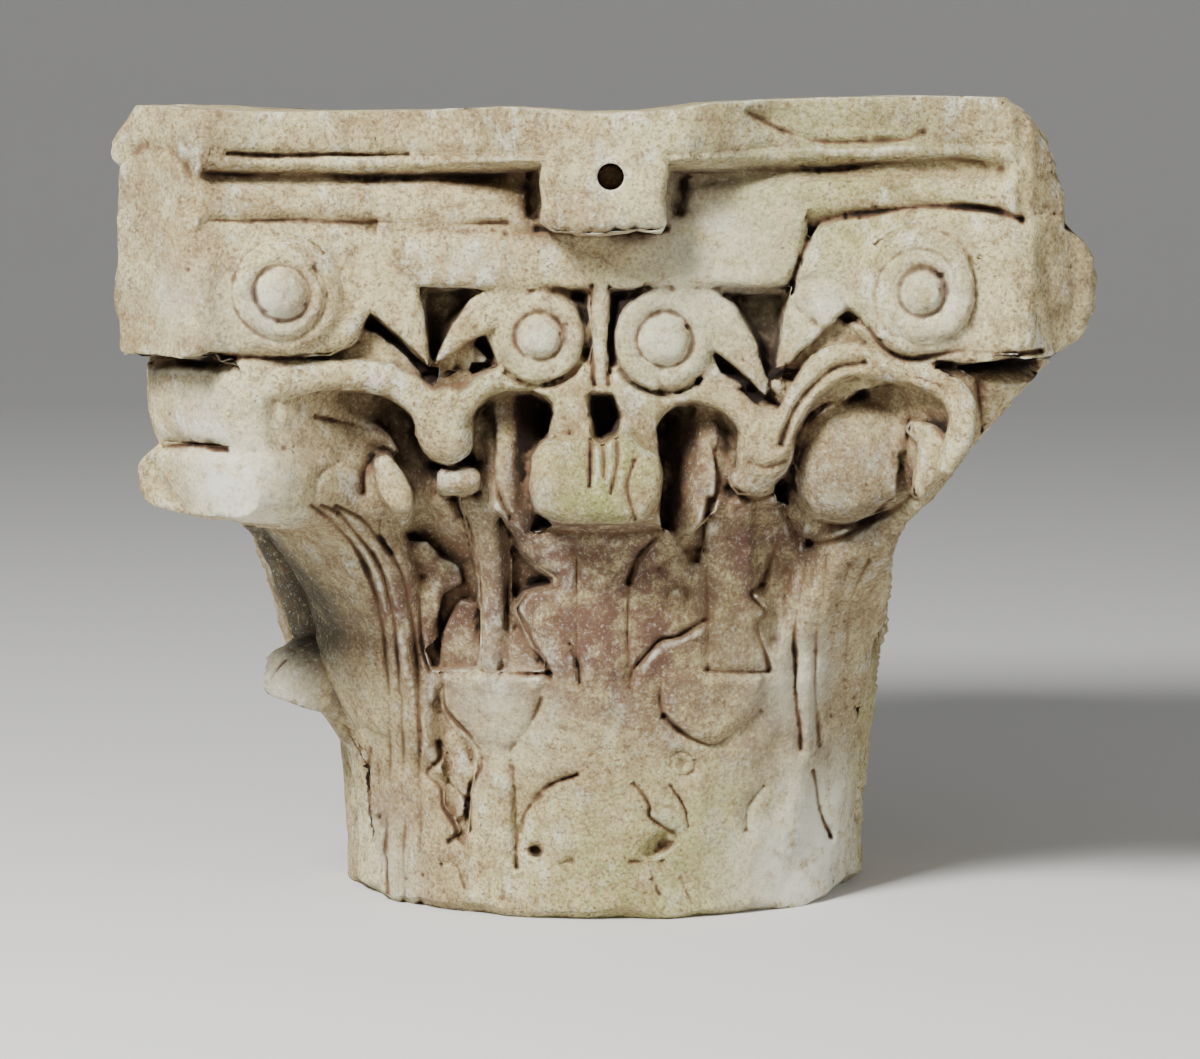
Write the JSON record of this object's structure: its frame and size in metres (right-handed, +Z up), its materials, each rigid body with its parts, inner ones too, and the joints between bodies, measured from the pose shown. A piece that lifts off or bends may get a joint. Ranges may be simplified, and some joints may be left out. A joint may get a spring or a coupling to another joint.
{
  "type": "column capital",
  "caption": "Weathered marble Corinthian column capital with worn acanthus leaves, corner volutes and a moulded abacus.",
  "frame": {"origin": "Centre of the round bed that sits on the shaft", "axes": "+Z up the axis of the column, -Y towards the best kept face, +X to its right"},
  "size_m": [0.588, 0.588, 0.5],
  "materials": {
    "marble": "weathered, rough"
  },
  "bodies": {
    "root": {"capital": "marble"}
  },
  "joints": []
}
